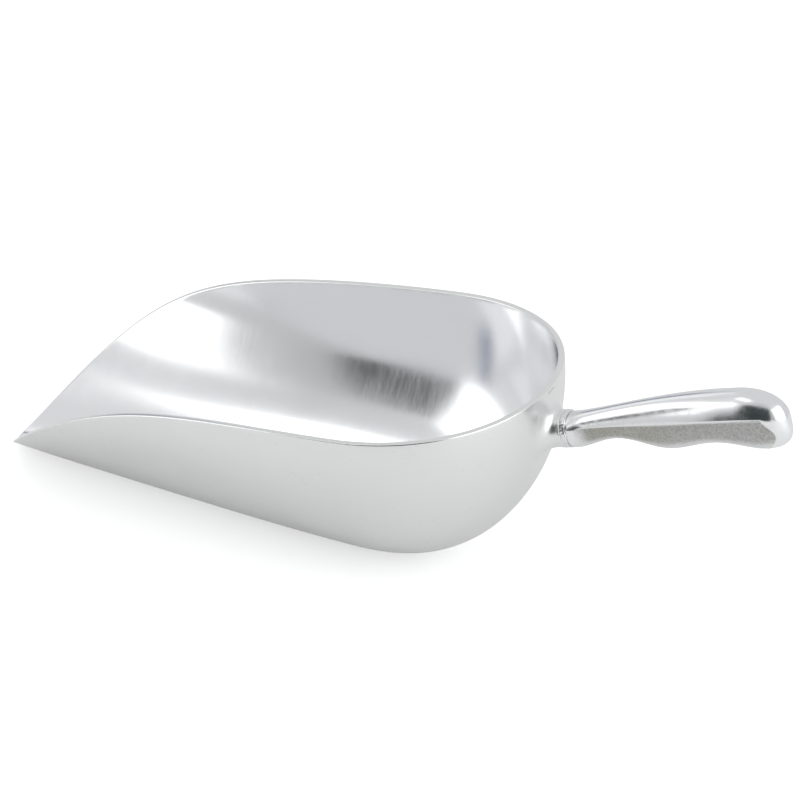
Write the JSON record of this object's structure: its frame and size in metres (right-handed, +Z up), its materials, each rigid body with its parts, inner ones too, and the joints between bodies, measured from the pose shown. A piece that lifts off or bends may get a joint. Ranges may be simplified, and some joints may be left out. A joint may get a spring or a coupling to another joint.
{
  "type": "ice scoop",
  "caption": "Deep metal hand scoop with a rounded back, straight keel, pointed pouring lip and a rising contoured grip with finger grooves.",
  "frame": {"origin": "on the ground, under the middle of the scoop's overall box, with the keel resting on z = 0", "axes": "+X along the scoop from the lip to the grip, +Y across it, +Z up out of the bowl"},
  "size_m": [0.4244, 0.16, 0.1343],
  "materials": {
    "polished_casting": "ground and polished aluminium with fine brushing and wear",
    "weld": "smooth dressed weld",
    "grip_casting": "polished back over rough cast flanks"
  },
  "bodies": {
    "root": {"bowl": "polished_casting", "neck_weld_bead": "weld", "handle": "grip_casting"}
  },
  "joints": []
}
